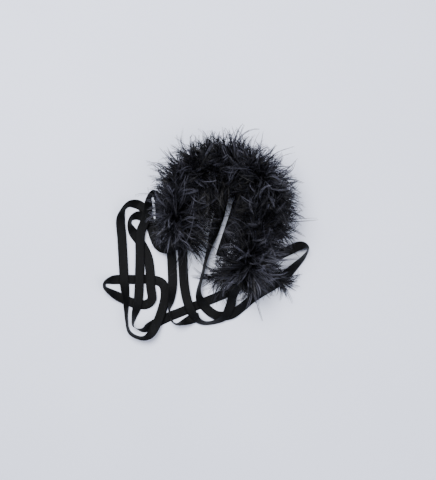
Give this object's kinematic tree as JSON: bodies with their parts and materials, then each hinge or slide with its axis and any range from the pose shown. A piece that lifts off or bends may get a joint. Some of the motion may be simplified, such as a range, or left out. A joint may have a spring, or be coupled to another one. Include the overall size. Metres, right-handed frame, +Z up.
{
  "type": "feather boa",
  "caption": "Short black ostrich feather boa with long ribbon ties, laid down in a C, its core bending in the plane it lies on.",
  "frame": {"origin": "on the surface the boa lies on, at the middle of the plumes' footprint, ties left out", "axes": "+Z up from the surface, +Y towards the back of the C, +X to its right; the C opens towards -X and -Y"},
  "size_m": [0.3272, 0.3251, 0.0854],
  "materials": {
    "ostrich_barbs": "satin",
    "quill_horn": "satin",
    "core_cotton": "matte",
    "binding_thread": "satin",
    "tie_ribbon": "satin"
  },
  "bodies": {
    "section_1": {"core_cord_1": "core_cotton", "plume_1": "ostrich_barbs", "quill_1": "quill_horn", "whipping_1": "binding_thread", "end_wrap_left": "tie_ribbon", "tie_left_inner": "tie_ribbon", "tie_left_outer": "tie_ribbon", "bar_tack_left_inner": "binding_thread", "bar_tack_left_outer": "binding_thread"},
    "section_2": {"core_cord_2": "core_cotton", "plume_2": "ostrich_barbs", "quill_2": "quill_horn", "whipping_2": "binding_thread"},
    "section_3": {"core_cord_3": "core_cotton", "plume_3": "ostrich_barbs", "quill_3": "quill_horn", "whipping_3": "binding_thread"},
    "section_4": {"core_cord_4": "core_cotton", "plume_4": "ostrich_barbs", "quill_4": "quill_horn", "whipping_4": "binding_thread"},
    "section_5": {"core_cord_5": "core_cotton", "plume_5": "ostrich_barbs", "quill_5": "quill_horn", "whipping_5": "binding_thread"},
    "section_6": {"core_cord_6": "core_cotton", "plume_6": "ostrich_barbs", "quill_6": "quill_horn", "whipping_6": "binding_thread"},
    "section_7": {"core_cord_7": "core_cotton", "plume_7": "ostrich_barbs", "quill_7": "quill_horn", "whipping_7": "binding_thread", "end_wrap_right": "tie_ribbon", "tie_right_long": "tie_ribbon", "tie_right_loop": "tie_ribbon", "bar_tack_right_long": "binding_thread", "bar_tack_right_loop": "binding_thread"}
  },
  "joints": [
    {"name": "bend_3_4", "type": "hinge", "parent": "section_4", "child": "section_3", "pos_m": [0.01475, 0.06874, 0.04], "axis": [0, 0, -1], "range_deg": [0, 25]},
    {"name": "bend_2_3", "type": "hinge", "parent": "section_3", "child": "section_2", "pos_m": [-0.03684, 0.05795, 0.04], "axis": [0, 0, -1], "range_deg": [0, 25]},
    {"name": "bend_1_2", "type": "hinge", "parent": "section_2", "child": "section_1", "pos_m": [-0.07033, 0.01789, 0.04], "axis": [0, 0, -1], "range_deg": [0, 25]},
    {"name": "bend_4_5", "type": "hinge", "parent": "section_4", "child": "section_5", "pos_m": [0.06218, 0.04753, 0.04], "axis": [0, 0, 1], "range_deg": [0, 25]},
    {"name": "bend_5_6", "type": "hinge", "parent": "section_5", "child": "section_6", "pos_m": [0.07424, -0.00275, 0.04], "axis": [0, 0, 1], "range_deg": [0, 25]},
    {"name": "bend_6_7", "type": "hinge", "parent": "section_6", "child": "section_7", "pos_m": [0.05644, -0.05288, 0.04], "axis": [0, 0, 1], "range_deg": [0, 25]}
  ]
}
